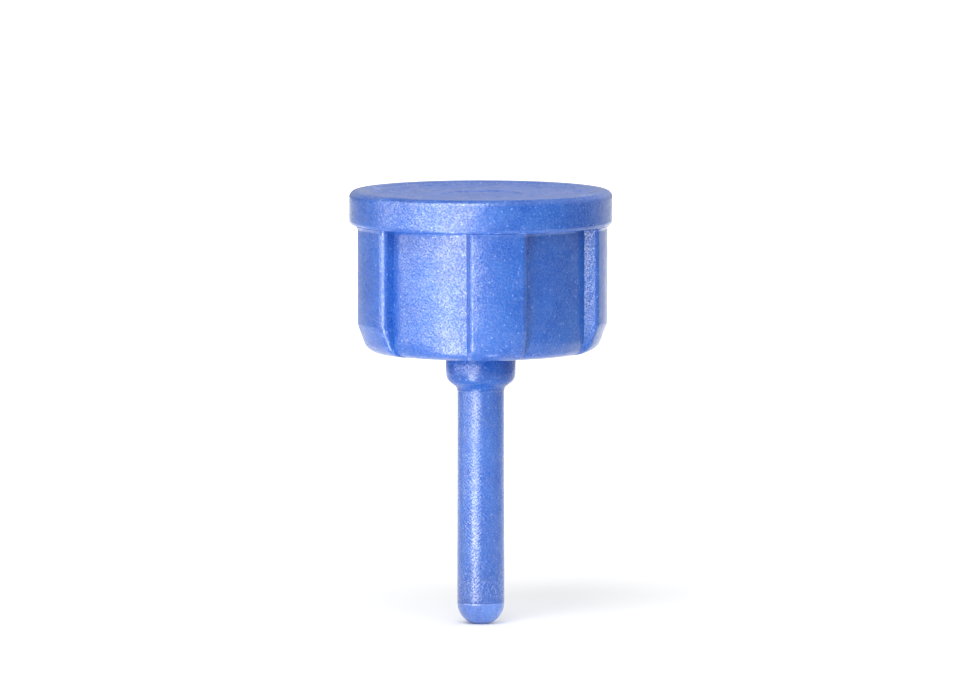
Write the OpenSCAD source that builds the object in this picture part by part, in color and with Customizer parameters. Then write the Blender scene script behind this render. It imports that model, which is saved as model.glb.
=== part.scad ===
// Drip emitter: ribbed grip that turns on a fixed hub, round push-in stem.
// Millimetres, +Z up, origin at the lowest point of the stem's nose on the axis.

/* [Stem] */
// Outside diameter of the stem
stem_od = 6.0; // [4:0.1:8]
// Bore of the stem
stem_id = 3.4; // [2:0.1:5]
// Height of the rounded nose up to its parting line
nose_h = 2.72; // [2:0.02:4]
// Diameter of the inlet hole in the nose
inlet_d = 1.6; // [0.8:0.1:2.4]
// Exposed stem between nose and collar
stem_exposed = 27.48; // [15:0.1:40]

/* [Collar] */
// Outside diameter of the collar
collar_od = 8.94; // [7:0.1:11]
// Height of the collar with its rounding
collar_h = 4.4; // [3:0.1:6]

/* [Grip] */
// Outside diameter over the ribs
rib_od = 32.26; // [28:0.02:36]
// Outside diameter of the recess floors
floor_od = 28.84; // [28:0.02:32]
// Height of the grip body below the rim
grip_h = 16.32; // [12:0.02:20]
// Number of ribs
rib_n = 5; // [4:1:8]
// Half width of a rib at its foot, degrees
rib_half = 14.5; // [8:0.1:18]
// How far one flank of each rib leans back to its outer face, degrees (the other flank is radial)
rib_lean = 2.2; // [0:0.1:6]
// Bore of the grip body
shell_id = 26.0; // [20:0.1:27]
// Number of outlet holes in the grip floor
outlet_n = 4; // [2:1:6]
// Diameter of an outlet hole
outlet_d = 1.6; // [1:0.1:2.5]
// Pitch circle radius of the outlet holes
outlet_r = 7.2; // [6:0.1:9]

/* [Rim] */
// Outside diameter of the rim
rim_od = 33.49; // [30:0.01:38]
// Height of the rim
rim_h = 4.38; // [3:0.01:7]
// Depth of the dished top at its centre
dish = 0.85; // [0.3:0.05:1.2]

/* [Flow parts] */
// Diameter of the metering orifice
orifice_d = 1.2; // [0.6:0.1:1.6]
// Diameter of the hub neck that the grip turns on
neck_d = 6.8; // [6.4:0.1:7]
// Hexagon of the needle head across flats
hex_af = 4.0; // [3:0.1:4.4]
// Number of baffle teeth in the labyrinth
teeth_n = 20; // [12:1:28]

/* [Hidden] */
$fn = 96;
rs = stem_od / 2;
rb = stem_id / 2;
z1 = nose_h;                 // parting line of the nose
z2 = z1 + stem_exposed;      // bottom of the collar
z3 = z2 + collar_h;          // underside of the grip body
z4 = z3 + grip_h;            // underside of the rim
z5 = z4 + rim_h;             // top of the rim
rc = collar_od / 2;
rr = rib_od / 2;
rf = floor_od / 2;
ri = shell_id / 2;
rl = rim_od / 2;
rn = neck_d / 2;
run = 0.05;                  // radial running clearance
zf = z3 + 1.5;               // inside floor of the grip body
zh = zf + 1.2;               // underside of the hub disc
blue = [0.25, 0.42, 0.85];

module ring(ro, rin, za, zb) {
  translate([0, 0, za]) difference() {
    cylinder(r = ro, h = zb - za);
    translate([0, 0, -1]) cylinder(r = rin, h = zb - za + 2);
  }
}

module oring(rc0, section, z) {
  translate([0, 0, z]) rotate_extrude() translate([rc0, 0]) circle(r = section, $fn = 32);
}

// ---- grip body -------------------------------------------------------------

// underside of the recessed wall, from the flat out to the recess floor
function under_floor(z) = [[0, z], [12.6, z], [13.1, z + 0.08], [13.5, z + 0.28], [13.8, z + 0.52],
                           [14.05, z + 0.85], [14.25, z + 1.25], [14.38, z + 1.7], [rf, z + 2.1]];

// underside of the ribs with their long chamfer
function under_rib(z) = [[0, z], [12.8, z], [13.4, z + 0.07], [13.98, z + 0.27], [14.34, z + 0.51],
                         [14.66, z + 0.77], [14.9, z + 1.02], [15.1, z + 1.27], [15.25, z + 1.55],
                         [rr, z + 3.9]];

module rib_plan() {
  // one rib seen from above, centred on -Y, with softly rounded outer corners
  b = rib_half;
  a = rib_half - rib_lean;
  radial = [[rf - 1.2, b + 0.3], [rf, b], [rr - 0.6, b], [rr - 0.3, b - 0.28], [rr - 0.08, b - 1.07],
            [rr, b - 2.13], [rr + 0.6, b - 2.7]];
  leaned = [[rf - 1.2, -b - 1.5], [rf, -b], [rr - 0.37, -a - 0.55], [rr - 0.11, -a + 0.05],
            [rr - 0.02, -a + 0.75], [rr, -a + 1.42], [rr + 0.6, -a + 1.8]];
  pts = concat(radial, [for (i = [len(leaned) - 1:-1:0]) leaned[i]]);
  polygon([for (p = pts) [p[0] * sin(p[1]), -p[0] * cos(p[1])]]);
}

module ribs() {
  intersection() {
    rotate_extrude() polygon(concat(under_rib(z3), [[rr, z4], [0, z4]]));
    for (i = [0:rib_n - 1]) rotate([0, 0, i * 360 / rib_n])
      translate([0, 0, z3 - 1]) linear_extrude(height = grip_h + 2) rib_plan();
  }
}

module grip_shell() color(blue) {
  difference() {
    union() {
      rotate_extrude() polygon(concat(under_floor(z3), [[rf, z4], [0, z4]]));
      ribs();
    }
    translate([0, 0, zf]) cylinder(r = ri, h = grip_h);
    ring(ri + 0.2, ri - 1, z4 - 3.25, z4 - 2.6);                    // snap groove for the lid
    translate([0, 0, z3 - 1]) cylinder(r = rn + run, h = 4);
    for (i = [0:outlet_n - 1]) rotate([0, 0, 45 + i * 360 / outlet_n])
      translate([outlet_r, 0, z3 - 1]) cylinder(d = outlet_d, h = 4, $fn = 48);
  }
  // stop lug on the inside floor
  intersection() {
    ring(11.6, 9.6, zf - 0.2, zf + 0.95);
    rotate([0, 0, 90]) translate([0, -2, zf - 1]) cube([14, 4, 4]);
  }
}

// ---- lid -------------------------------------------------------------------

module lid() color(blue) {
  difference() {
    union() {
      rotate_extrude() polygon([
        [0, z4 - 4], [11.6, z4 - 4], [12.6, z4 - 4], [ri - 0.05, z4 - 3.6], [ri - 0.05, z4 - 3.2], [ri + 0.15, z4 - 3.0],
        [ri + 0.15, z4 - 2.85], [ri - 0.05, z4 - 2.65], [ri - 0.05, z4],
        [rl - 0.72, z4], [rl - 0.44, z4 + 0.06], [rl - 0.21, z4 + 0.21], [rl - 0.06, z4 + 0.44],
        [rl, z4 + 0.72], [rl, z5 - 1.25], [rl - 0.1, z5 - 0.77], [rl - 0.37, z5 - 0.37], [rl - 0.77, z5 - 0.1],
        [rl - 1.25, z5], [14.75, z5], [14.35, z5 - 0.05], [13.95, z5 - 0.2], [13.4, z5 - 0.34],
        [11, z5 - 0.46], [7, z5 - 0.6], [3, z5 - 0.76], [0, z5 - dish]]);
    }
    // O-ring groove
    ring(ri + 1, 12.22, z4 - 2.2, z4 - 1.3);
    // hollow underside around the drive boss
    difference() {
      translate([0, 0, z4 - 5]) cylinder(r = 11.4, h = 6.6);
      translate([0, 0, z4 - 6]) cylinder(r = 3.6, h = 9);
    }
    // hexagon socket for the needle head
    translate([0, 0, z4 - 5]) cylinder(r = (hex_af + 0.12) / sqrt(3), h = 6.1, $fn = 6);
  }
  // stiffening ribs under the top
  for (i = [0:5]) rotate([0, 0, i * 60 + 30])
    translate([3.3, -0.4, z4 - 1.0]) cube([8.4, 0.8, 2.7]);
}

module lid_oring() color([0.1, 0.1, 0.1]) oring(12.61, 0.375, z4 - 1.75);

// ---- hub -------------------------------------------------------------------

module hub_body() color([0.86, 0.86, 0.82]) {
  difference() {
    union() {
      translate([0, 0, z3 - 1.5]) cylinder(r = rn, h = 3.4);        // neck
      translate([0, 0, zf + 0.3]) cylinder(r = 4.8, h = 1.2);       // bearing shoulder
      translate([0, 0, zh]) cylinder(r = 12.0, h = 2.6);            // disc
      rotate_extrude() polygon([[11, zh + 2.0], [12.0, zh + 2.0], [12.2, zh + 2.15],
        [12.2, zh + 2.3], [12.0, zh + 2.45], [11, zh + 2.45]]);     // snap bead for the cap
    }
    translate([0, 0, z3 - 2]) cylinder(r = 2.2, h = 5.1);           // valve bore
    translate([0, 0, zh + 0.4]) cylinder(r = 2.6, h = 4);           // seat bush bore
    ring(10.6, 4.2, zh + 1.2, zh + 4);                              // labyrinth pocket
    ring(13, 11.2, zh + 1.0, zh + 1.9);                             // O-ring groove
    for (i = [0:3]) rotate([0, 0, i * 90])
      translate([9.4, 0, zh - 1]) cylinder(r = 0.6, h = 4, $fn = 48);
    for (i = [0:2]) rotate([0, 0, i * 120 + 60])                    // feed slots over the centre boss
      translate([2.2, -0.5, zh + 2.1]) cube([2.6, 1.0, 1]);
  }
  // stop tab under the disc
  intersection() {
    ring(11.6, 9.6, zh - 0.95, zh + 0.2);
    rotate([0, 0, 66]) translate([0, -2, zh - 2]) cube([14, 4, 4]);
  }
}

module hub_cap() color([0.86, 0.86, 0.82]) {
  difference() {
    union() {
      translate([0, 0, zh + 0.5]) cylinder(r = 12.7, h = 5.2);
      translate([0, 0, zh + 5.6]) cylinder(r = 4.0, h = 3.7);
      for (i = [0:5]) rotate([0, 0, i * 60])
        translate([3.8, -0.4, zh + 5.6]) cube([7.6, 0.8, 1.4]);
    }
    translate([0, 0, zh]) cylinder(r = 12.04, h = 2.62);            // skirt over the hub disc
    ring(12.24, 11, zh + 1.95, zh + 2.5);                           // snap groove
    ring(10.55, 2.9, zh + 2.3, zh + 4.3);                           // pressure chamber
    translate([0, 0, zh + 2]) cylinder(r = 3.1, h = 2.3);
    translate([0, 0, zh + 2]) cylinder(r = 1.25, h = 10);           // needle guide
    translate([0, 0, zh + 5.1]) cylinder(r = 2.0, h = 6);           // needle gland
    translate([0, 0, zh + 5.9]) cylinder(r = 2.5, h = 6);           // thread
  }
  // pips that stop the diaphragm
  for (i = [0:5]) rotate([0, 0, i * 60])
    translate([7.2, 0, zh + 3.32]) cylinder(r = 0.5, h = 1.1, $fn = 32);
}

module hub_oring() color([0.1, 0.1, 0.1]) oring(11.62, 0.4, zh + 1.45);

module thrust_washer() color([0.95, 0.95, 0.95]) ring(4.8, rn + 0.08, zf + 0.02, zf + 0.28);

// ---- flow control ----------------------------------------------------------

module labyrinth_disc() color([0.2, 0.2, 0.22]) {
  difference() {
    ring(10.55, 4.25, zh + 1.2, zh + 2.3);
    ring(8.6, 6.4, zh + 1.75, zh + 3);
    translate([9.6, 0, zh]) cylinder(r = 0.4, h = 4, $fn = 32);
    translate([5.3, -0.45, zh + 1.75]) cube([1.6, 0.9, 1]);
    rotate([0, 0, 180]) translate([8.2, -0.45, zh + 1.75]) cube([1.4, 0.9, 1]);
    rotate([0, 0, 180]) translate([9.6, 0, zh]) cylinder(r = 0.4, h = 4, $fn = 32);
  }
  for (i = [0:teeth_n - 1]) rotate([0, 0, (i + 0.5) * 360 / teeth_n])
    translate([i % 2 == 0 ? 6.3 : 7.2, -0.2, zh + 1.6]) cube([1.5, 0.4, 0.7]);
}

module diaphragm() color([0.75, 0.3, 0.25]) ring(9.8, 4.5, zh + 2.33, zh + 2.93);

module diaphragm_ring() color([0.2, 0.2, 0.22]) ring(10.5, 9.95, zh + 2.32, zh + 4.28);

module metering_seat() color([0.75, 0.6, 0.3]) {
  translate([0, 0, zh + 0.4]) difference() {
    cylinder(r = 2.58, h = 1.68);
    translate([0, 0, -1]) cylinder(d = orifice_d, h = 4, $fn = 48);
    translate([0, 0, 1.09]) cylinder(r1 = orifice_d / 2, r2 = orifice_d / 2 + 0.6, h = 0.6, $fn = 48);
  }
}

module flow_needle() color([0.8, 0.8, 0.82]) {
  z = zh + 1.2;
  rotate_extrude($fn = 64) polygon([
    [0, z], [0.35, z + 0.05], [0.53, z + 0.32], [1.2, z + 1.06], [1.2, z + 5.5], [2.15, z + 5.5],
    [2.15, z + 5.58], [2.45, z + 5.68], [2.45, z + 5.8], [2.15, z + 5.92], [2.15, z + 6.06],
    [2.45, z + 6.18], [2.45, z + 6.3], [2.15, z + 6.42], [2.15, z + 6.56],
    [2.45, z + 6.68], [2.45, z + 6.8], [2.15, z + 6.9], [1.8, z + 7.0], [1.8, z + 8.3], [0, z + 8.3]]);
  translate([0, 0, z + 8.2]) intersection() {
    cylinder(r = hex_af / sqrt(3), h = 3.8, $fn = 6);
    rotate_extrude($fn = 64) polygon([[0, 0], [2.1, 0], [2.4, 0.3], [2.4, 3.5], [2.0, 3.8], [0, 3.8]]);
  }
}

module needle_oring() color([0.1, 0.1, 0.1]) oring(1.61, 0.385, zh + 5.49);

module gland_washer() color([0.8, 0.8, 0.82]) ring(2.48, 1.3, zh + 5.9, zh + 6.4);

// ---- anti-drain valve ------------------------------------------------------

module check_seat() color([0.2, 0.2, 0.22]) difference() {
  ring(2.18, 1.1, z3 - 1.48, z3 - 0.7);
  translate([0, 0, z3 - 0.9]) cylinder(r1 = 1.1, r2 = 1.35, h = 0.25);
}

module check_poppet() color([0.9, 0.9, 0.88]) {
  z = z3 - 0.68;
  translate([0, 0, z]) cylinder(r = 1.5, h = 0.6);
  translate([0, 0, z]) cylinder(r = 0.5, h = 2.3, $fn = 48);
  for (i = [0:2]) rotate([0, 0, i * 120])
    translate([0, -0.15, z - 0.72]) cube([1.0, 0.3, 0.8]);
}

module check_spring() color([0.75, 0.76, 0.78]) {
  turns = 5; n = 18; m = 8; w = 0.13; rm = 1.0;
  za = z3 + 0.08; zb = zh + 0.24;
  steps = turns * n;
  pts = [for (i = [0:steps]) let(t = i / steps, a = 360 * turns * t, zc = za + (zb - za) * t)
         for (j = [0:m - 1]) let(b = 360 * j / m, r = rm + w * cos(b))
           [r * cos(a), r * sin(a), zc + w * sin(b)]];
  side = [for (i = [0:steps - 1]) for (j = [0:m - 1])
          [i * m + j, (i + 1) * m + j, (i + 1) * m + (j + 1) % m, i * m + (j + 1) % m]];
  polyhedron(points = pts, faces = concat(
    [[for (j = [0:m - 1]) j]], [[for (j = [m - 1:-1:0]) steps * m + j]], side));
}

// ---- collar and stem -------------------------------------------------------

module stem_collar() color(blue) {
  difference() {
    rotate_extrude() polygon([[0, z2], [rs + 0.12, z2], [rs + 0.34, z2 + 0.14], [rs + 0.62, z2 + 0.36],
      [rs + 0.88, z2 + 0.6], [rs + 1.12, z2 + 0.86], [rs + 1.32, z2 + 1.16], [rc - 0.02, z2 + 1.5],
      [rc, z2 + 1.8], [rc, z3 - 0.28], [rc - 0.2, z3 - 0.08], [0, z3 - 0.08]]);
    translate([0, 0, z2 - 1]) cylinder(r = rs - 0.29, h = 4);
    translate([0, 0, z2 + 2.0]) cylinder(r = rn + 0.01, h = 4);
  }
}

module collar_oring() color([0.1, 0.1, 0.1]) oring(2.78, 0.39, z2 + 2.4);

module stem_tube() color(blue) {
  ring(rs, rb, z1, z2 - 0.01);
  ring(rs - 0.3, rb, z2 - 0.02, z2 + 2.0);                          // spigot welded into the collar
}

module stem_tip() color(blue) difference() {
  union() {
    rotate_extrude() polygon([[0, 0], [1.12, 0], [1.26, 0.05], [1.42, 0.12], [1.62, 0.23], [1.83, 0.38],
      [2.04, 0.56], [2.24, 0.76], [2.42, 0.98], [2.57, 1.2], [2.7, 1.43], [2.81, 1.68], [2.89, 1.94],
      [2.95, 2.2], [2.985, 2.45], [rs, z1 - 0.1], [rs, z1], [0, z1]]);
    translate([0, 0, z1 - 0.5]) cylinder(r = rb - 0.01, h = 3.9);
  }
  translate([0, 0, -1]) cylinder(d = inlet_d, h = 9, $fn = 48);
}

module filter_frame() color([0.2, 0.2, 0.22]) {
  ring(rb - 0.03, 1.15, z1 + 3.5, z1 + 4.5);
  translate([0, 0, z2 - 3.4]) cylinder(r = 1.3, h = 0.8);
  for (i = [0:3]) rotate([0, 0, i * 90]) {
    translate([0.92, -0.2, z1 + 4.3]) cube([0.36, 0.4, z2 - z1 - 7.6]);
    translate([0, -0.2, z2 - 3.4]) cube([rb - 0.06, 0.4, 0.8]);
  }
}

module filter_screen() color([0.8, 0.8, 0.82]) ring(1.42, 1.3, z1 + 4.5, z2 - 3.4);

lid();
lid_oring();
grip_shell();
hub_cap();
hub_body();
hub_oring();
thrust_washer();
labyrinth_disc();
diaphragm();
diaphragm_ring();
metering_seat();
flow_needle();
needle_oring();
gland_washer();
check_seat();
check_poppet();
check_spring();
stem_collar();
collar_oring();
stem_tube();
stem_tip();
filter_frame();
filter_screen();
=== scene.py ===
# Drip emitter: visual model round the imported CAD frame. Metres, same frame as the CAD.
import math

import bmesh
import bpy
import numpy as np
from mathutils import Matrix, Vector, noise


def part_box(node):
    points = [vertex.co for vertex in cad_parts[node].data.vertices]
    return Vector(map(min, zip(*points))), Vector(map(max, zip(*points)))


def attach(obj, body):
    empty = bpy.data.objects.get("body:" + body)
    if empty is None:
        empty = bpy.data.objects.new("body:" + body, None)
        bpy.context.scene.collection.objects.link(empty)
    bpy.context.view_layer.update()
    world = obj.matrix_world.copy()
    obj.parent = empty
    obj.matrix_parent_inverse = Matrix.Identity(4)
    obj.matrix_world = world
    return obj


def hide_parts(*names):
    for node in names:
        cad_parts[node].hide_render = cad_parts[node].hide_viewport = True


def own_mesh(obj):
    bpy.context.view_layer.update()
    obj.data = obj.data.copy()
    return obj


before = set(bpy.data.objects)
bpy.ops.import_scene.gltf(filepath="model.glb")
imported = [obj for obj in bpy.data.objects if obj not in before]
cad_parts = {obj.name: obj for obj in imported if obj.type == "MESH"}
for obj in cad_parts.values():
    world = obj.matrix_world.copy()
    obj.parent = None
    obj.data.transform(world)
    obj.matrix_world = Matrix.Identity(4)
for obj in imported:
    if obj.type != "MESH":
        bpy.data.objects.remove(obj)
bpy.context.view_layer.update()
MM = 0.001

# ------------------------------------------------------------------ dimensions (mm)
RS = 3.0            # stem radius
RB = 1.7            # stem bore
Z1 = 2.72           # nose parting line
Z2 = 30.2           # bottom of collar
Z3 = 34.6           # underside of grip
Z4 = 50.92          # underside of rim
Z5 = 55.3           # top of rim
RR = 16.13          # over ribs
RF = 14.42          # recess floors
RI = 13.0           # grip bore
RL = 16.745         # rim
NRIB = 5
RIB_HALF = math.radians(14.5)
LEAN = math.radians(2.2)
ZF = Z3 + 1.5

# ------------------------------------------------------------------ helpers
def to_obj(name, verts, faces, smooth=True):
    me = bpy.data.meshes.new(name)
    me.from_pydata([tuple(v) for v in verts], [], faces)
    me.validate()
    me.update()
    ob = bpy.data.objects.new(name, me)
    bpy.context.scene.collection.objects.link(ob)
    if smooth:
        me.shade_smooth()
    return ob


def resample(points, step, corner=35.0):
    """A polyline in (r, z), mm, with rounded-looking density: every segment cut to at most step."""
    out = []
    for (a, b) in zip(points[:-1], points[1:]):
        a, b = np.array(a, float), np.array(b, float)
        n = max(1, int(math.ceil(np.linalg.norm(b - a) / step)))
        for i in range(n):
            out.append(a + (b - a) * i / n)
    out.append(np.array(points[-1], float))
    return np.array(out)


def fillet(points, radii, n=7):
    """Rounds each inner corner of an open (r, z) polyline with its own radius."""
    pts = [np.array(p, float) for p in points]
    out = [pts[0]]
    for i in range(1, len(pts) - 1):
        r = radii[i] if isinstance(radii, (list, tuple)) else radii
        p0, p1, p2 = pts[i - 1], pts[i], pts[i + 1]
        if not r:
            out.append(p1)
            continue
        u, v = p0 - p1, p2 - p1
        lu, lv = np.linalg.norm(u), np.linalg.norm(v)
        u, v = u / lu, v / lv
        ang = math.acos(max(-1, min(1, float(u @ v))))
        if ang > math.pi - 0.02:
            out.append(p1)
            continue
        t = min(r / math.tan(ang / 2), 0.49 * lu, 0.49 * lv)
        rr = t * math.tan(ang / 2)
        a, b = p1 + u * t, p1 + v * t
        bis = (u + v) / np.linalg.norm(u + v)
        c = p1 + bis * (rr / math.sin(ang / 2))
        va, vb = a - c, b - c
        total = math.acos(max(-1, min(1, float(va @ vb) / (np.linalg.norm(va) * np.linalg.norm(vb)))))
        sgn = 1 if va[0] * vb[1] - va[1] * vb[0] > 0 else -1
        m = max(2, int(n * total / (math.pi / 2)) + 1)
        for k in range(m + 1):
            th = sgn * total * k / m
            ct, st = math.cos(th), math.sin(th)
            out.append(c + np.array([va[0] * ct - va[1] * st, va[0] * st + va[1] * ct]))
    out.append(pts[-1])
    return np.array(out)


def lathe(name, profile, thetas, radius=None, closed=False):
    """Revolves a (r, z) profile in mm. radius(theta, k, r, z) may change r. A point on the axis becomes one vertex.
    A profile that runs from the bottom up on the outside gives outward normals."""
    verts, rings = [], []
    for k, (r, z) in enumerate(profile):
        if r < 1e-6:
            rings.append([len(verts)])
            verts.append((0, 0, z * MM))
            continue
        ring = []
        for t in thetas:
            rr, zz = (r, z) if radius is None else radius(t, k, r, z)
            ring.append(len(verts))
            verts.append((rr * math.cos(t) * MM, rr * math.sin(t) * MM, zz * MM))
        rings.append(ring)
    faces = []
    pairs = list(zip(rings[:-1], rings[1:]))
    if closed:
        pairs.append((rings[-1], rings[0]))
    for a, b in pairs:
        if len(a) == 1 and len(b) == 1:
            continue
        n = max(len(a), len(b))
        for i in range(n):
            j = (i + 1) % n
            if len(a) == 1:
                faces.append((a[0], b[j], b[i]))
            elif len(b) == 1:
                faces.append((a[i], a[j], b[0]))
            else:
                faces.append((a[i], a[j], b[j], b[i]))
    return to_obj(name, verts, faces)


def even(n):
    return [2 * math.pi * i / n for i in range(n)]


def boolean(ob, cutter, op="DIFFERENCE"):
    m = ob.modifiers.new("cut", "BOOLEAN")
    m.operation = op
    m.solver = "EXACT"
    m.object = cutter
    dg = bpy.context.evaluated_depsgraph_get()
    me = bpy.data.meshes.new_from_object(ob.evaluated_get(dg))
    ob.modifiers.clear()
    old = ob.data
    ob.data = me
    bpy.data.meshes.remove(old)
    bpy.data.objects.remove(cutter)


def join(name, obs):
    bm = bmesh.new()
    for o in obs:
        me = o.data.copy()
        me.transform(o.matrix_world)
        bm.from_mesh(me)
        bpy.data.meshes.remove(me)
        bpy.data.objects.remove(o)
    me = bpy.data.meshes.new(name)
    bm.to_mesh(me)
    bm.free()
    ob = bpy.data.objects.new(name, me)
    bpy.context.scene.collection.objects.link(ob)
    return ob


def shade(ob, angle=40):
    """Smooth shading with creases kept sharp."""
    ob.data.shade_smooth()
    ob.data.set_sharp_from_angle(angle=math.radians(angle))
    ob.data.update()

# ------------------------------------------------------------------ materials
def new_mat(name):
    m = bpy.data.materials.new(name)
    m.use_nodes = True
    nt = m.node_tree
    for n in list(nt.nodes):
        nt.nodes.remove(n)
    out = nt.nodes.new("ShaderNodeOutputMaterial")
    bsdf = nt.nodes.new("ShaderNodeBsdfPrincipled")
    nt.links.new(bsdf.outputs[0], out.inputs[0])
    return m, nt, bsdf


class G:
    """Small helper to write node graphs."""

    def __init__(self, nt):
        self.nt = nt

    def add(self, kind, **props):
        n = self.nt.nodes.new(kind)
        for k, v in props.items():
            setattr(n, k, v)
        return n

    def link(self, a, b):
        self.nt.links.new(a, b)

    def set(self, node, key, v):
        s = node.inputs[key]
        if hasattr(v, "is_linked") or isinstance(v, bpy.types.NodeSocket):
            self.link(v, s)
        else:
            s.default_value = v

    def math(self, op, a, b=0.0, c=None, clamp=False):
        n = self.add("ShaderNodeMath", operation=op, use_clamp=clamp)
        self.set(n, 0, a)
        self.set(n, 1, b)
        if c is not None:
            self.set(n, 2, c)
        return n.outputs[0]

    def coords(self, scale=(1, 1, 1), loc=(0, 0, 0)):
        """Object coordinates in millimetres, then scaled."""
        t = self.add("ShaderNodeTexCoord")
        m = self.add("ShaderNodeMapping")
        m.inputs["Scale"].default_value = [1000 * s for s in scale]
        m.inputs["Location"].default_value = loc
        self.link(t.outputs["Object"], m.inputs["Vector"])
        return m.outputs[0]

    def noise(self, vec, scale, detail=2.0, rough=0.5, distortion=0.0):
        n = self.add("ShaderNodeTexNoise")
        self.link(vec, n.inputs["Vector"])
        n.inputs["Scale"].default_value = scale
        n.inputs["Detail"].default_value = detail
        n.inputs["Roughness"].default_value = rough
        n.inputs["Distortion"].default_value = distortion
        return n.outputs["Fac"]

    def voronoi(self, vec, scale, feature="F1"):
        n = self.add("ShaderNodeTexVoronoi", feature=feature)
        self.link(vec, n.inputs["Vector"])
        n.inputs["Scale"].default_value = scale
        return n.outputs["Distance"]

    def ramp(self, fac, lo, hi, a=0.0, b=1.0, smooth=True):
        n = self.add("ShaderNodeMapRange")
        if smooth:
            n.interpolation_type = "SMOOTHSTEP"
        self.set(n, "Value", fac)
        self.set(n, "From Min", lo)
        self.set(n, "From Max", hi)
        self.set(n, "To Min", a)
        self.set(n, "To Max", b)
        return n.outputs[0]

    def mix(self, fac, a, b, mode="MIX"):
        n = self.add("ShaderNodeMix", data_type="RGBA", blend_type=mode)
        self.set(n, "Factor", fac)
        for key, v in (("A", a), ("B", b)):
            sock = [s for s in n.inputs if s.name == key and s.type == "RGBA"][0]
            if isinstance(v, bpy.types.NodeSocket):
                self.link(v, sock)
            else:
                sock.default_value = (*v, 1.0) if len(v) == 3 else v
        return [s for s in n.outputs if s.type == "RGBA"][0]

    def bump(self, height, strength, distance, normal=None):
        n = self.add("ShaderNodeBump")
        self.set(n, "Height", height)
        n.inputs["Strength"].default_value = strength
        n.inputs["Distance"].default_value = distance * MM
        if normal is not None:
            self.link(normal, n.inputs["Normal"])
        return n.outputs[0]


DEEP = (0.004, 0.069, 0.360)
MID = (0.008, 0.090, 0.405)
PALE = (0.055, 0.155, 0.475)


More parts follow.
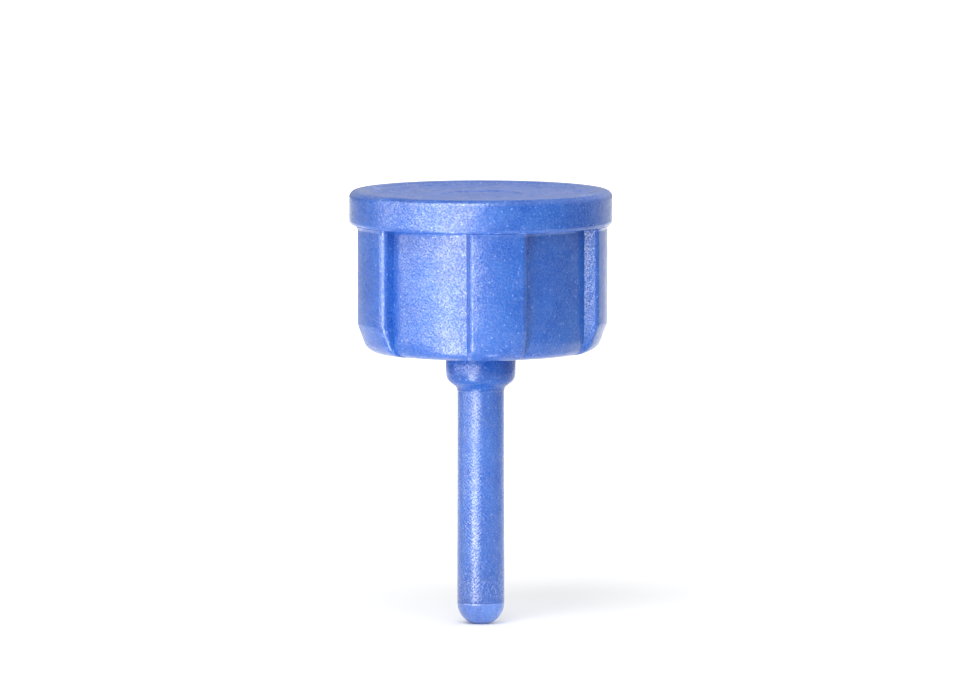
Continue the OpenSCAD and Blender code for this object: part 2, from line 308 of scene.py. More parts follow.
def blue_plastic(name, kind, light=1.0, painted_sheen=0.0, gloss=1.0):
    """Satin moulded polyolefin with a fine speckled grain. kind: grip, rim, stem. light scales the pigment, a lighter
    copy that is painted light;
    the next argument whitens it, a painted reflection veil; gloss scales the shine."""
    m, nt, bsdf = new_mat(name)
    g = G(nt)
    v = g.coords()
    cloud = g.noise(v, 0.22, 3.0, 0.55)
    blotch = g.noise(v, 1.3 if kind == "rim" else 1.8, 2.0, 0.55)
    fine = g.noise(v, 3.8, 1.0, 0.55)
    grain = g.noise(v, 6.5, 0.0, 0.5)
    speck = g.voronoi(v, 1.45)
    # colour: soft clouds, fine grain, pale specks; light and the whitening argument make lighter, whiter copies of it,
    # painted light and painted reflection
    col = g.mix(g.ramp(cloud, 0.35, 0.68), tuple(c * light + h for c, h in zip(DEEP, (painted_sheen, painted_sheen, painted_sheen * 0.5))),
                tuple(c * light + h for c, h in zip(MID, (painted_sheen, painted_sheen, painted_sheen * 0.5))))
    col = g.mix(g.ramp(fine, 0.44, 0.72, 0.0, 0.40), col, PALE)
    col = g.mix(g.ramp(blotch, 0.50, 0.75, 0.0, 0.30), col, PALE)
    dot = g.math("MULTIPLY", g.ramp(speck, 0.05, 0.25, 0.7, 0.0), g.ramp(fine, 0.42, 0.55, 0.0, 1.0))
    col = g.mix(dot, col, (0.20, 0.33, 0.74))
    # worn, slightly chalky outer corners
    geo = g.add("ShaderNodeNewGeometry")
    edge = g.ramp(geo.outputs["Pointiness"], 0.52, 0.60, 0.0, 0.55)
    edge = g.math("MULTIPLY", edge, g.ramp(fine, 0.35, 0.6, 0.5, 1.0))
    col = g.mix(edge, col, (0.19, 0.28, 0.70))
    pos = g.add("ShaderNodeSeparateXYZ")
    g.link(v, pos.inputs[0])
    x, y, z = pos.outputs[0], pos.outputs[1], pos.outputs[2]
    rough = g.ramp(cloud, 0.3, 0.7, 0.30, 0.38)
    rough = g.math("ADD", rough, g.ramp(grain, 0.3, 0.7, -0.05, 0.05))
    bsdf.inputs["IOR"].default_value = 1.5
    # the shine breaks up into fine bright and dull grains, in soft patches
    flake = g.noise(v, 4.6, 1.0, 0.6)
    patch = g.ramp(g.noise(v, 0.55, 3.0, 0.6), 0.35, 0.65, 0.75, 1.0)
    shine = g.math("MULTIPLY", g.ramp(flake, 0.36, 0.66, 0.40, 1.0), patch)
    # flat upward faces are matt
    gs = g.add("ShaderNodeSeparateXYZ")
    g.link(geo.outputs["Normal"], gs.inputs[0])
    up_face = g.ramp(gs.outputs[2], 0.55, 0.92, 1.0, 0.58 if kind == "rim" else 0.30)
    if kind == "rim":
        axis_d = g.math("SQRT", g.math("ADD", g.math("MULTIPLY", x, x), g.math("MULTIPLY", y, y)))
        up_face = g.math("MULTIPLY", up_face, g.ramp(axis_d, 13.4, 14.2, 0.50, 1.0))
    shine = g.math("MULTIPLY", g.math("MULTIPLY", shine, up_face), gloss)
    g.link(g.math("MULTIPLY", shine, 0.95), bsdf.inputs["Specular IOR Level"])
    g.link(shine, bsdf.inputs["Coat Weight"])
    bsdf.inputs["Coat IOR"].default_value = 1.5
    bsdf.inputs["Coat Roughness"].default_value = 0.15
    bsdf.inputs["Subsurface Weight"].default_value = 0.10
    bsdf.inputs["Subsurface Radius"].default_value = (0.25, 0.45, 1.0)
    bsdf.inputs["Subsurface Scale"].default_value = 0.6 * MM
    # relief
    if kind == "stem":
        # drawn barrel: fine crossing drag marks, scuffed band above the nose, flash at the parting line
        ang = g.math("MULTIPLY", g.math("ARCTAN2", y, x), RS)
        drift = g.math("MULTIPLY", g.noise(v, 1.1, 2.0, 0.5), 5.0)
        w1 = g.math("SINE", g.math("ADD", g.math("MULTIPLY", g.math("ADD", g.math("MULTIPLY", ang, 0.8), z), 13.0), drift))
        w2 = g.math("SINE", g.math("ADD", g.math("MULTIPLY", g.math("SUBTRACT", z, g.math("MULTIPLY", ang, 0.9)), 12.0), drift))
        marks = g.math("MULTIPLY_ADD", g.math("ADD", w1, w2), 0.25, 0.5)
        n1 = g.bump(grain, 0.5, 0.010)
        n2 = g.bump(marks, 0.6, 0.018, n1)
        n3 = g.bump(g.noise(v, 1.1, 1.0, 0.5), 0.6, 0.025, n2)
        band = g.math("MULTIPLY", g.ramp(z, 3.0, 3.5), g.ramp(z, 5.6, 7.0, 1.0, 0.0))
        scratch = g.noise(g.coords((1, 1, 0.6)), 4.2, 3.0, 0.75)
        scuff = g.math("MULTIPLY", band, g.ramp(scratch, 0.47, 0.68, 0.0, 0.45))
        col = g.mix(scuff, col, (0.30, 0.40, 0.78))
        line = g.math("ABSOLUTE", g.math("SUBTRACT", z, Z1))
        flash = g.math("MULTIPLY", g.ramp(line, 0.02, 0.10, 0.40, 0.0), g.ramp(g.noise(v, 1.4, 2.0, 0.6), 0.35, 0.6, 0.2, 1.0))
        col = g.mix(flash, col, (0.33, 0.42, 0.78))
        rough = g.math("ADD", rough, -0.06)
    elif kind == "rim":
        n1 = g.bump(grain, 0.8, 0.012)
        n2 = g.bump(fine, 0.8, 0.030, n1)
        n2 = g.bump(blotch, 0.8, 0.050, n2)
        # flow marks across the dished top
        top = g.math("MULTIPLY", g.ramp(z, Z5 - 0.95, Z5 - 0.75), g.ramp(g.math("SQRT", g.math("ADD", g.math("MULTIPLY", x, x), g.math("MULTIPLY", y, y))), 13.6, 14.6, 1.0, 0.0))
        ang = g.math("ARCTAN2", y, x)
        rad = g.math("SQRT", g.math("ADD", g.math("MULTIPLY", x, x), g.math("MULTIPLY", y, y)))
        comb = g.add("ShaderNodeCombineXYZ")
        g.link(g.math("MULTIPLY", ang, 3.2), comb.inputs[0])
        g.link(g.math("MULTIPLY", rad, 0.42), comb.inputs[1])
        swirl = g.noise(comb.outputs[0], 1.7, 3.0, 0.62, 0.9)
        n3 = g.bump(g.math("MULTIPLY", swirl, top), 0.7, 0.30, n2)
        col = g.mix(g.math("MULTIPLY", top, g.ramp(swirl, 0.35, 0.60, 0.0, 0.75)), col, (0.10, 0.17, 0.52))
    else:
        n1 = g.bump(grain, 0.8, 0.012)
        n2 = g.bump(fine, 0.8, 0.030, n1)
        n3 = g.bump(blotch, 0.8, 0.038, n2)
    g.link(col, bsdf.inputs["Base Color"])
    g.link(rough, bsdf.inputs["Roughness"])
    g.link(n3, bsdf.inputs["Normal"])
    g.link(n3, bsdf.inputs["Coat Normal"])
    return m


def simple(name, color, rough, metallic=0.0, grain=3.0, depth=0.03, aniso=None, var=0.12, sheen=0.0):
    """Any other finish: colour variation, grain and relief."""
    m, nt, bsdf = new_mat(name)
    g = G(nt)
    v = g.coords(aniso or (1, 1, 1))
    a = g.noise(v, grain, 3.0, 0.6)
    b = g.noise(g.coords(), 0.35, 2.0, 0.5)
    dark = tuple(c * (1 - var) for c in color)
    light = tuple(min(1.0, c * (1 + var) + 0.01) for c in color)
    col = g.mix(g.ramp(b, 0.35, 0.65), dark, color)
    col = g.mix(g.ramp(a, 0.45, 0.75, 0.0, 0.6), col, light)
    g.link(col, bsdf.inputs["Base Color"])
    g.link(g.ramp(a, 0.3, 0.7, max(0.05, rough - 0.08), min(1, rough + 0.08)), bsdf.inputs["Roughness"])
    bsdf.inputs["Metallic"].default_value = metallic
    if sheen:
        bsdf.inputs["Sheen Weight"].default_value = sheen
    g.link(g.bump(a, 0.4, depth), bsdf.inputs["Normal"])
    return m


M_GRIP = blue_plastic("grip_blue", "grip")
M_RIM = blue_plastic("rim_blue", "rim")
# stem: a lighter, slightly whitened copy of the grip blue, painted light and a painted reflection veil on the same
# plastic
M_STEM = blue_plastic("stem_blue_painted_lit", "stem", 1.17, 0.020)
M_COLLAR = blue_plastic("collar_blue", "stem", 1.0, gloss=0.70)
# nose: a much lighter, whitened copy of the grip blue, painted light and a painted reflection veil on the same plastic
M_NOSE = blue_plastic("nose_blue_painted_lit", "stem", 1.75, 0.115)
M_WHITE = simple("acetal_white", (0.78, 0.78, 0.73), 0.38, grain=4.0)
M_DARK = simple("moulded_black", (0.035, 0.035, 0.04), 0.5, grain=5.0)
M_SLIP = simple("slip_sheet", (0.83, 0.83, 0.82), 0.45, grain=6.0)
M_RUBBER = simple("nitrile_black", (0.018, 0.018, 0.02), 0.6, grain=6.0, sheen=0.2)
M_SILI = simple("silicone_red", (0.42, 0.10, 0.06), 0.55, grain=5.0, sheen=0.2)
M_BRASS = simple("turned_brass", (0.72, 0.50, 0.20), 0.28, 1.0, grain=3.0, aniso=(1, 1, 12), depth=0.01)
M_STEEL = simple("drawn_steel", (0.60, 0.61, 0.63), 0.27, 1.0, grain=3.0, aniso=(1, 1, 12), depth=0.01)


def dress(ob, mat):
    ob.data.materials.clear()
    ob.data.materials.append(mat)

# ------------------------------------------------------------------ grip shell
def prof_at(table, z):
    zs = [p[1] for p in table]
    rs = [p[0] for p in table]
    return float(np.interp(z, zs, rs))


RIB = [(12.6, Z3), (13.25, Z3 + 0.07), (13.85, Z3 + 0.27), (14.28, Z3 + 0.51), (14.66, Z3 + 0.77), (14.90, Z3 + 1.02),
       (15.10, Z3 + 1.27), (15.25, Z3 + 1.55), (RR, Z3 + 3.9), (RR, Z4)]
FLO = [(12.3, Z3), (12.85, Z3 + 0.08), (13.35, Z3 + 0.28), (13.8, Z3 + 0.52), (14.05, Z3 + 0.85), (14.25, Z3 + 1.25),
       (14.38, Z3 + 1.7), (RF, Z3 + 2.1), (RF, Z4)]


def smooth_table(table, z0, z1, width, n=400):
    """A table of r against z, softened over width mm, exact at the ends."""
    zs = np.linspace(z0, z1, n)
    rs = np.interp(zs, [p[1] for p in table], [p[0] for p in table])
    dz = zs[1] - zs[0]
    k = max(1, int(width / dz))
    ker = np.hanning(2 * k + 3)
    ker /= ker.sum()
    pad = np.concatenate([2 * rs[0] - rs[1:k + 2][::-1], rs, 2 * rs[-1] - rs[-k - 2:-1][::-1]])
    sm = np.convolve(pad, ker, mode="valid")
    return zs, sm


zr, rib_r = smooth_table(RIB, Z3, Z4, 0.16)
zf_, flo_r = smooth_table(FLO, Z3, Z4, 0.30)


def rib_at(z):
    return float(np.interp(z, zr, rib_r))


def flo_at(z):
    return float(np.interp(z, zf_, flo_r))


# both flanks of a rib in plan, with their fillets, as weight against angle; the one towards +angle is radial
ARC = 15.4


def flank(outer, foot, r_out, r_in):
    f = fillet([(0, RR), (outer * ARC, RR), (foot * ARC + 0.02, RF), (math.pi / NRIB * ARC, RF)], [0, r_out, r_in, 0], n=12)
    return f[:, 0] / ARC, (f[:, 1] - RF) / (RR - RF)


fa_p, fw_p = flank(RIB_HALF, RIB_HALF, 0.95, 0.0)
fa_m, fw_m = flank(RIB_HALF - LEAN, RIB_HALF, 0.62, 0.12)


def half_cols(fa):
    base = list(np.linspace(0, fa[1] * 0.98, 6)[:-1])
    return base + list(fa[1:-1]) + list(np.linspace(fa[-2], math.pi / NRIB, 9)[1:])


def columns():
    """Angles round the shell, dense at the rib flanks. A rib is centred on -Y."""
    cols = []
    for k in range(NRIB):
        c = -math.pi / 2 + k * 2 * math.pi / NRIB
        cols += [c - a for a in reversed(half_cols(fa_m)[1:-1])] + [c + a for a in half_cols(fa_p)]
    cols = sorted(set(round(c % (2 * math.pi), 6) for c in cols))
    keep = [cols[0]]
    for c in cols[1:]:
        if c - keep[-1] > 1e-4:
            keep.append(c)
    return keep


COLS = columns()


def weight(theta):
    best, w = 1e9, 0.0
    for k in range(NRIB):
        c = -math.pi / 2 + k * 2 * math.pi / NRIB
        d = (theta - c + math.pi) % (2 * math.pi) - math.pi
        if abs(d) < best:
            best = abs(d)
            w = float(np.interp(d, fa_p, fw_p)) if d >= 0 else float(np.interp(-d, fa_m, fw_m))
    return w


W = {t: weight(t) for t in COLS}


def wave(t, z, amp, s=1.0):
    """Slow unevenness of a moulded wall, mm."""
    p = Vector((math.cos(t) * 2.1 * s, math.sin(t) * 2.1 * s, z * 0.16 * s))
    return amp * noise.noise(p)


def build_shell():
    low = [(3.47, Z3 + 0.12), (3.6, Z3), (5.0, Z3), (8.0, Z3), (11.0, Z3), (12.2, Z3)]
    zs = [Z3 + 0.0, Z3 + 0.015, Z3 + 0.04, Z3 + 0.08, Z3 + 0.13, Z3 + 0.19]
    skin = [(None, z) for z in list(np.concatenate([
        np.array(zs), np.arange(Z3 + 0.26, Z3 + 4.6, 0.085), np.arange(Z3 + 4.7, Z4 - 0.6, 0.55),
        np.array([Z4 - 0.45, Z4 - 0.36, Z4 - 0.28, Z4 - 0.2, Z4 - 0.13, Z4 - 0.07, Z4])]))]
    inner = [(RI, Z4), (RI, Z4 - 2.6), (RI + 0.2, Z4 - 2.75), (RI + 0.2, Z4 - 3.1), (RI, Z4 - 3.25),
             (RI, ZF + 0.8), (RI - 0.06, ZF + 0.45), (RI - 0.25, ZF + 0.18), (RI - 0.6, ZF + 0.02), (RI - 0.9, ZF),
             (8.0, ZF), (3.55, ZF), (3.45, ZF - 0.1)]
    prof = low + skin + inner
    n0, n1 = len(low), len(low) + len(skin)

    def radius(t, k, r, z):
        if n0 <= k < n1:
            a, b = flo_at(z), rib_at(z)
            rr = a + (b - a) * W[t]
            fade = min(1.0, max(0.0, (z - Z3 - 0.5) / 1.5)) * (1 - 0.7 * W[t])
            # small fillet up into the rim
            top = max(0.0, 1 - (Z4 - z) / 0.45) ** 2 * (0.32 - 0.08 * W[t])
            return min(rr + wave(t, z, 0.035) * fade, RR) + top, z
        return r, z

    rows = [(r if r is not None else flo_at(z), z) for r, z in prof]
    ob = lathe("grip_shell.body", rows, COLS, radius, closed=True)
    # four outlets with a small countersink below
    for i in range(4):
        a = math.radians(45 + 90 * i)
        x, y = 7.2 * math.cos(a), 7.2 * math.sin(a)
        hole = lathe("cut", [(0, Z3 - 0.4), (1.25, Z3 - 0.4), (0.8, Z3 + 0.16), (0.8, ZF + 1), (0, ZF + 1)], even(48))
        hole.data.transform(Matrix.Translation((x * MM, y * MM, 0)))
        boolean(ob, hole)
    # stop lug on the inside floor
    a = math.radians(90)
    lug = box_arc("lug", 9.6, 11.6, ZF - 0.3, ZF + 0.95, a, 2.0)
    out = join("grip_shell.body", [ob, lug])
    return out


def box_arc(name, r0, r1, z0, z1, mid, half):
    v, f = [], []
    n = 8
    for i in range(n + 1):
        for (r, z) in ((r0, z0), (r1, z0), (r1, z1), (r0, z1)):
            w = math.asin(half / r) * (-1 + 2 * i / n)
            v.append((r * math.cos(mid + w) * MM, r * math.sin(mid + w) * MM, z * MM))
    for i in range(n):
        for k in range(4):
            a, b = i * 4 + k, i * 4 + (k + 1) % 4
            f.append((a, b, b + 4, a + 4))
    f.append((3, 2, 1, 0))
    f.append((n * 4, n * 4 + 1, n * 4 + 2, n * 4 + 3))
    return to_obj(name, v, f)


shell = build_shell()
dress(shell, M_GRIP)
shade(shell, 50)
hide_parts("grip_shell")
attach(shell, "grip")

# ------------------------------------------------------------------ lid
def build_lid():
    out = fillet([(12.95, Z4 - 0.02), (12.95, Z4), (RL, Z4), (RL, Z5), (14.9, Z5), (13.9, Z5 - 0.42), (9.2, Z5 - 0.47),
                  (5.6, Z5 - 0.49), (5.25, Z5 - 0.62), (0, Z5 - 0.64)],
                 [0, 0.0, 0.58, 1.25, 0.9, 0.6, 0.6, 0.2, 0.2, 0], n=12)
    prof = [tuple(p) for p in out]
    dense = []
    for (a, b) in zip(prof[:-1], prof[1:]):
        d = math.hypot(b[0] - a[0], b[1] - a[1])
        n = max(1, int(d / 0.45))
        for i in range(n):
            dense.append((a[0] + (b[0] - a[0]) * i / n, a[1] + (b[1] - a[1]) * i / n))
    dense.append(prof[-1])
    low = [(11.4, Z4 + 1.6), (11.4, Z4 - 3.8), (11.6, Z4 - 4.0), (12.6, Z4 - 4.0), (12.95, Z4 - 3.6), (12.95, Z4 - 3.2), (13.15, Z4 - 3.0),
           (13.15, Z4 - 2.85), (12.95, Z4 - 2.65), (12.95, Z4 - 2.2), (12.22, Z4 - 2.2), (12.22, Z4 - 1.3),
           (12.95, Z4 - 1.3)]
    prof = [(3.6, Z4 - 3.8), (3.6, Z4 + 1.35), (3.85, Z4 + 1.6)] + low + dense[:-1] + [(0.0, dense[-1][1])]
    n_low = 3 + len(low)

    def radius(t, k, r, z):
        if k >= n_low:
            w = wave(t, z, 0.012)
            if r > 15.9 and Z4 + 0.3 < z < Z5 - 0.3:
                return min(RL, r + w), z
            if z > Z5 - 1.2 and r < 14.2:
                s = noise.noise(Vector((math.cos(t) * r * 0.22, math.sin(t) * r * 0.22, 3.7)))
                return r, z + 0.05 * s * min(1.0, r / 2.0)
        return r, z

    # the drive boss is closed at its foot by a ring round the hexagon socket
    ths = even(288)
    verts, faces = [], []
    ob = lathe("lid.top", prof, ths, radius)
    # close boss foot and socket: hexagon pocket
    af = 2.06
    bm = bmesh.new()
    bm.from_mesh(ob.data)
    bm.verts.ensure_lookup_table()
    foot = [bm.verts[i] for i in range(len(ths))]
    hexr = af / math.cos(math.pi / 6)

    def hex_radius(t):
        a = (t % (math.pi / 3)) - math.pi / 6
        return af / math.cos(a)

    rings = [foot]
    for (dr, z) in ((0.18, Z4 - 4.0), (None, Z4 - 4.0), (-0.0, Z4 - 3.85), (0, Z4 + 1.1)):
        ring = []
        for t in ths:
            if dr == 0.18:
                r = 3.6 - 0.18
            elif dr is None:
                r = hex_radius(t) + 0.12
            else:
                r = hex_radius(t)
            ring.append(bm.verts.new((r * math.cos(t) * MM, r * math.sin(t) * MM, z * MM)))
        rings.append(ring)
    end = bm.verts.new((0, 0, (Z4 + 1.1) * MM))
    n = len(ths)
    for a, b in zip(rings[:-1], rings[1:]):
        for i in range(n):
            j = (i + 1) % n
            bm.faces.new((a[j], a[i], b[i], b[j]))
    last = rings[-1]
    for i in range(n):
        bm.faces.new((last[(i + 1) % n], last[i], end))
    bmesh.ops.recalc_face_normals(bm, faces=bm.faces)
    bm.to_mesh(ob.data)
    bm.free()
    # stiffening webs under the top
    webs = []
    for i in range(6):
        a = math.radians(60 * i + 30)
        w = 0.4
        v = [(x, y, z) for z in (Z4 - 1.0, Z4 + 1.75) for (x, y) in ((3.3, -w), (11.7, -w), (11.7, w), (3.3, w))]
        f = [(3, 2, 1, 0), (4, 5, 6, 7), (0, 1, 5, 4), (1, 2, 6, 5), (2, 3, 7, 6), (3, 0, 4, 7)]
        o = to_obj("web", [(x * MM, y * MM, z * MM) for x, y, z in v], f, smooth=False)
        o.data.transform(Matrix.Rotation(a, 4, "Z"))
        webs.append(o)
    return join("lid.top", [ob] + webs)


lid = build_lid()
dress(lid, M_RIM)
shade(lid, 50)
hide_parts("lid")
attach(lid, "grip")

# ------------------------------------------------------------------ collar, stem, nose
def ring_solid(name, prof, n=160):
    """A closed ring section revolved, points in order round the section."""
    ob = lathe(name, prof, even(n), closed=True)
    bm = bmesh.new()
    bm.from_mesh(ob.data)
    bmesh.ops.recalc_face_normals(bm, faces=bm.faces)
    bm.to_mesh(ob.data)
    bm.free()
    return ob


RC = 4.47
col_out = [(3.004, Z2 + 0.03), (3.004, Z2 - 0.44), (3.02, Z2 - 0.46), (3.045, Z2 - 0.32), (3.08, Z2 - 0.16), (3.15, Z2 - 0.02), (3.27, Z2 + 0.12),
           (3.52, Z2 + 0.30), (3.84, Z2 + 0.53), (4.10, Z2 + 0.78), (4.28, Z2 + 1.05), (4.39, Z2 + 1.38), (4.45, Z2 + 1.75), (RC - 0.01, Z2 + 2.0), (RC - 0.01, Z3 - 0.64), (RC - 0.04, Z3 - 0.58), (RC - 0.09, Z3 - 0.54),
           (RC - 0.09, Z3 - 0.50), (RC - 0.03, Z3 - 0.36), (RC, Z3 - 0.22), (RC - 0.03, Z3 - 0.13), (RC - 0.12, Z3 - 0.08)]
col_in = [(3.5, Z3 - 0.08), (3.42, Z3 - 0.16), (3.41, Z2 + 2.0), (2.71, Z2 + 2.0), (2.71, Z2 + 0.07)]
collar = ring_solid("stem_collar.sleeve", col_out + col_in, 176)
dress(collar, M_COLLAR)
shade(collar, 50)
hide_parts("stem_collar")
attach(collar, "base")

stem_rows = [(2.96, Z1 + 0.005), (2.995, Z1 + 0.04), (RS, Z1 + 0.08)]
stem_rows += [(RS, z) for z in np.arange(Z1 + 0.4, Z2 - 0.3, 0.5)]
stem_rows += [(RS, Z2 - 0.01), (2.70, Z2 - 0.01), (2.70, Z2 + 1.93), (2.63, Z2 + 2.0), (1.75, Z2 + 2.0), (RB, Z2 + 1.95)]
stem_rows += [(RB, z) for z in np.arange(Z2, Z1 + 1, -2.0)] + [(RB, Z1 + 0.005)]
stem = ring_solid("stem_tube.barrel", stem_rows, 144)
dress(stem, M_STEM)
shade(stem, 50)
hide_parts("stem_tube")
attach(stem, "base")

nose_pts = [(0.80, 0.10), (0.88, 0.02), (0.98, 0.0), (1.12, 0.01), (1.26, 0.05), (1.42, 0.12), (1.62, 0.23), (1.83, 0.38), (2.04, 0.56),
            (2.24, 0.76), (2.42, 0.98), (2.57, 1.20), (2.70, 1.43), (2.81, 1.68), (2.89, 1.94), (2.95, 2.20), (2.985, 2.45), (2.995, 2.62), (2.98, Z1 - 0.03), (2.95, Z1 - 0.005)]
nose_in = [(1.69, Z1 - 0.005), (1.69, Z1 + 3.2), (1.5, Z1 + 3.4), (0.95, Z1 + 3.4), (0.80, Z1 + 3.25)]
nose = ring_solid("stem_tip.nose", nose_pts + nose_in, 144)
dress(nose, M_NOSE)
shade(nose, 50)
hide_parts("stem_tip")
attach(nose, "base")

# ------------------------------------------------------------------ anti-drain spring: shortens towards its fixed end as the poppet lifts
s_lo, s_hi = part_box("check_spring")
WIRE, COIL, TURNS, STEP, SIDES = 0.13, 1.0, 5, 36, 16
s_za, s_zb = s_lo.z / MM + WIRE, s_hi.z / MM - WIRE
coil_v, coil_f = [], []
for i in range(TURNS * STEP + 1):
    a = 2 * math.pi * i / STEP
    zc = s_za + (s_zb - s_za) * i / (TURNS * STEP)
    for j in range(SIDES):
        b = 2 * math.pi * j / SIDES
        r = COIL + WIRE * math.cos(b)
        coil_v.append((r * math.cos(a) * MM, r * math.sin(a) * MM, (zc + WIRE * math.sin(b)) * MM))
for i in range(TURNS * STEP):
    for j in range(SIDES):
        k = (j + 1) % SIDES
        coil_f.append((i * SIDES + j, (i + 1) * SIDES + j, (i + 1) * SIDES + k, i * SIDES + k))
coil_f.append(tuple(range(SIDES)))
coil_f.append(tuple(TURNS * STEP * SIDES + j for j in reversed(range(SIDES))))
spring = to_obj("check_spring.coil", coil_v, coil_f)
dress(spring, M_STEEL)
shade(spring, 50)
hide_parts("check_spring")
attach(spring, "base")
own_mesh(spring)

# ------------------------------------------------------------------ finishes on the carried-over CAD nodes
FINISH = {
    "hub_body": M_WHITE, "hub_cap": M_WHITE, "check_poppet": M_WHITE, "thrust_washer": M_SLIP,
    "labyrinth_disc": M_DARK, "diaphragm_ring": M_DARK, "check_seat": M_DARK, "filter_frame": M_DARK,
    "lid_oring": M_RUBBER, "hub_oring": M_RUBBER, "needle_oring": M_RUBBER, "collar_oring": M_RUBBER,
    "diaphragm": M_SILI, "metering_seat": M_BRASS, "flow_needle": M_STEEL, "gland_washer": M_STEEL,
    "filter_screen": M_STEEL,
}
for node, mat in FINISH.items():
    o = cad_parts[node]
    dress(o, mat)

# ------------------------------------------------------------------ floor, light, camera
scene = bpy.context.scene
scene.view_settings.view_transform = "Standard"
scene.view_settings.look = "None"
scene.view_settings.exposure = 0.0

S = 1.2
fm, fnt, fb = new_mat("floor_painted_light")
fb.inputs["Base Color"].default_value = (0.80, 0.80, 0.80, 1)
fb.inputs["Roughness"].default_value = 1.0
fb.inputs["Specular IOR Level"].default_value = 0.0
# painted light: the sweep's emission rises away from the part, a painted brightness standing in for paper in lamplight,
# kept low close to the part so its shadow shows
fg = G(fnt)
ftc = fnt.nodes.new("ShaderNodeTexCoord")
fl = fnt.nodes.new("ShaderNodeVectorMath")
fl.operation = "LENGTH"
fg.link(ftc.outputs["Object"], fl.inputs[0])
fs = fnt.nodes.new("ShaderNodeSeparateXYZ")
fg.link(ftc.outputs["Object"], fs.inputs[0])
# across the sweep, square to a line 7.5 degrees off the part's front
lat = fg.math("SUBTRACT", fg.math("MULTIPLY", fs.outputs[0], 0.9914), fg.math("MULTIPLY", fs.outputs[1], 0.1305))
# painted shade: the sweep is painted darker, in emission and in colour, towards the front and far out to left and
# right, brighter again behind the part
back_part = fg.ramp(fs.outputs[1], 0.04, 0.28, 0.0, 0.46)
painted_side_shade = fg.math("MAXIMUM", fg.ramp(lat, 0.14, 0.31, 1.0, 0.06), back_part)
painted_side_shade = fg.math("MINIMUM", painted_side_shade, fg.ramp(lat, -0.30, -0.13, 0.36, 1.0))
painted_front_shade = fg.ramp(fs.outputs[1], -0.30, -0.11, 0.42, 1.0)
painted_light_mask = fg.math("MULTIPLY", painted_side_shade, painted_front_shade)
painted_glow = fg.math("MULTIPLY", fg.ramp(fl.outputs["Value"], 0.05, 0.30, 0.11, 0.70), painted_light_mask)
# a painted pool of light on the sweep, front left: painted emission where a lamp would throw its light, no lamp
hx, hy = math.sin(math.radians(-36.5)), -math.cos(math.radians(-36.5))
along = fg.math("ADD", fg.math("MULTIPLY", fs.outputs[0], hx), fg.math("MULTIPLY", fs.outputs[1], hy))
across = fg.math("ABSOLUTE", fg.math("SUBTRACT", fg.math("MULTIPLY", fs.outputs[0], hy), fg.math("MULTIPLY", fs.outputs[1], hx)))
wedge = fg.ramp(fg.math("DIVIDE", across, fg.math("MAXIMUM", along, 0.001)), 0.15, 0.34, 1.0, 0.0)
reach = fg.math("MULTIPLY", fg.ramp(along, 0.015, 0.05), fg.ramp(along, 0.155, 0.20, 1.0, 0.5))
reach = fg.math("MULTIPLY", fg.math("ADD", reach, fg.ramp(along, 0.24, 0.29, 0.0, 0.25)), fg.ramp(along, 0.36, 0.46, 1.0, 0.0))
fg.link(fg.math("ADD", painted_glow, fg.math("MULTIPLY", fg.math("MULTIPLY", wedge, reach), 8.0)), fb.inputs["Emission Strength"])
# painted shade in the colour as well: greyer where the painted light mask is low
fg.link(fg.mix(painted_light_mask, (0.12, 0.12, 0.12), (0.80, 0.80, 0.80)), fb.inputs["Base Color"])
fb.inputs["Emission Color"].default_value = (1, 1, 1, 1)
floor = to_obj("floor", [(-S, -S, 0), (S, -S, 0), (S, S, 0), (-S, S, 0)], [(0, 1, 2, 3)], smooth=False)
dress(floor, fm)

# camera: long lens, a little above the rim
AZ, EL, DIST = math.radians(-7.5), math.radians(5.05), 2.5
back = Vector((math.sin(AZ) * math.cos(EL), -math.cos(AZ) * math.cos(EL), math.sin(EL)))
right = Vector((math.cos(AZ), math.sin(AZ), 0))
PX = 7.867          # pixels per mm at the axis
cam_data = bpy.data.cameras.new("camera")
cam = bpy.data.objects.new("camera", cam_data)
scene.collection.objects.link(cam)
scene.camera = cam
cam_data.sensor_width = 36
width_mm = 963 / PX
cam_data.lens = 36 * (DIST * 1000) / width_mm
cam_data.clip_start, cam_data.clip_end = 0.05, 20
# the axis sits at x 480.8 and the middle of the part a little under the frame's middle
target = Vector((0, 0, 0))
up = back.cross(right)
aim_z = 34.9
target = Vector((0, 0, aim_z * MM)) + right * ((481.9 - 481.2) / PX * MM)
cam.location = target + back * DIST
cam.rotation_mode = "QUATERNION"
cam.rotation_quaternion = (-back).to_track_quat("-Z", "Y")


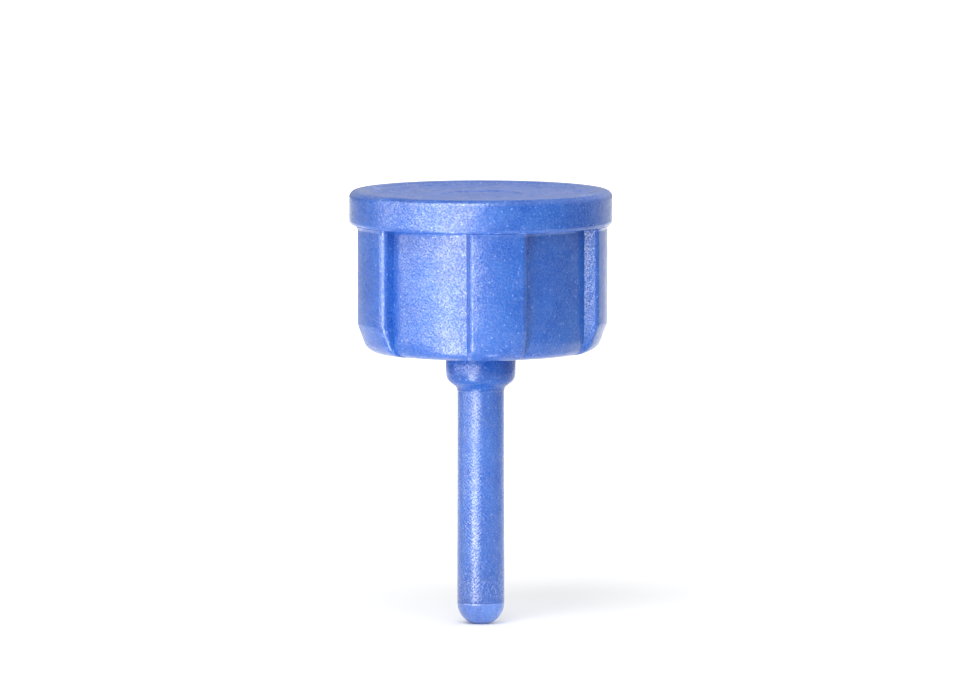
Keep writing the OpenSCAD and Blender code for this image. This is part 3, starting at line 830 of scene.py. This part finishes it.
def area(name, az, el, dist, sx, sy, power, color=(1, 1, 1), at=(0, 0, 0.035)):
    """A soft light seen from the object at that azimuth (0 is the camera's side, negative is left) and elevation."""
    a, e = AZ + math.radians(az), math.radians(el)
    d = Vector((math.sin(a) * math.cos(e), -math.cos(a) * math.cos(e), math.sin(e)))
    l = bpy.data.lights.new(name, "AREA")
    l.shape = "RECTANGLE"
    l.size, l.size_y = sx, sy
    l.energy = power
    l.color = color
    o = bpy.data.objects.new(name, l)
    scene.collection.objects.link(o)
    o.location = Vector(at) + d * dist
    o.rotation_mode = "QUATERNION"
    o.rotation_quaternion = d.to_track_quat("Z", "Y")
    return o


key = area("key", -30.5, 0, 0.36, 0.41, 0.48, 3.7, (1.0, 0.97, 0.88), at=(0, 0, 0.241))
key.visible_diffuse = False
wing = area("wing", -78, 0, 0.36, 0.26, 0.34, 0.90, (1.0, 0.97, 0.90), at=(0, 0, 0.171))
wing.visible_diffuse = False
area("high", -14, 50, 0.6, 0.30, 0.30, 1.75)
fill = area("fill", 30, 30, 0.6, 0.3, 0.3, 0.5)
fill.visible_glossy = False

# white surround: bright behind the part, dimmer towards the viewer
world = bpy.data.worlds.new("surround")
scene.world = world
world.use_nodes = True
wn = world.node_tree
for n in list(wn.nodes):
    wn.nodes.remove(n)
wo = wn.nodes.new("ShaderNodeOutputWorld")
bg = wn.nodes.new("ShaderNodeBackground")
tc = wn.nodes.new("ShaderNodeTexCoord")
dot = wn.nodes.new("ShaderNodeVectorMath")
dot.operation = "DOT_PRODUCT"
u = Vector((-math.sin(AZ), math.cos(AZ), 0.0)) * 0.10 + Vector((0, 0, 0.90)) + right * 0.25
dot.inputs[1].default_value = u.normalized()
wn.links.new(tc.outputs["Generated"], dot.inputs[0])
mr = wn.nodes.new("ShaderNodeMapRange")
mr.interpolation_type = "SMOOTHSTEP"
mr.inputs["From Min"].default_value = -0.50
mr.inputs["From Max"].default_value = 0.90
mr.inputs["To Min"].default_value = 0.06
mr.inputs["To Max"].default_value = 1.08
wn.links.new(dot.outputs["Value"], mr.inputs["Value"])
wn.links.new(mr.outputs[0], bg.inputs["Strength"])
bg.inputs["Color"].default_value = (1, 1, 1, 1)
wn.links.new(bg.outputs[0], wo.inputs[0])
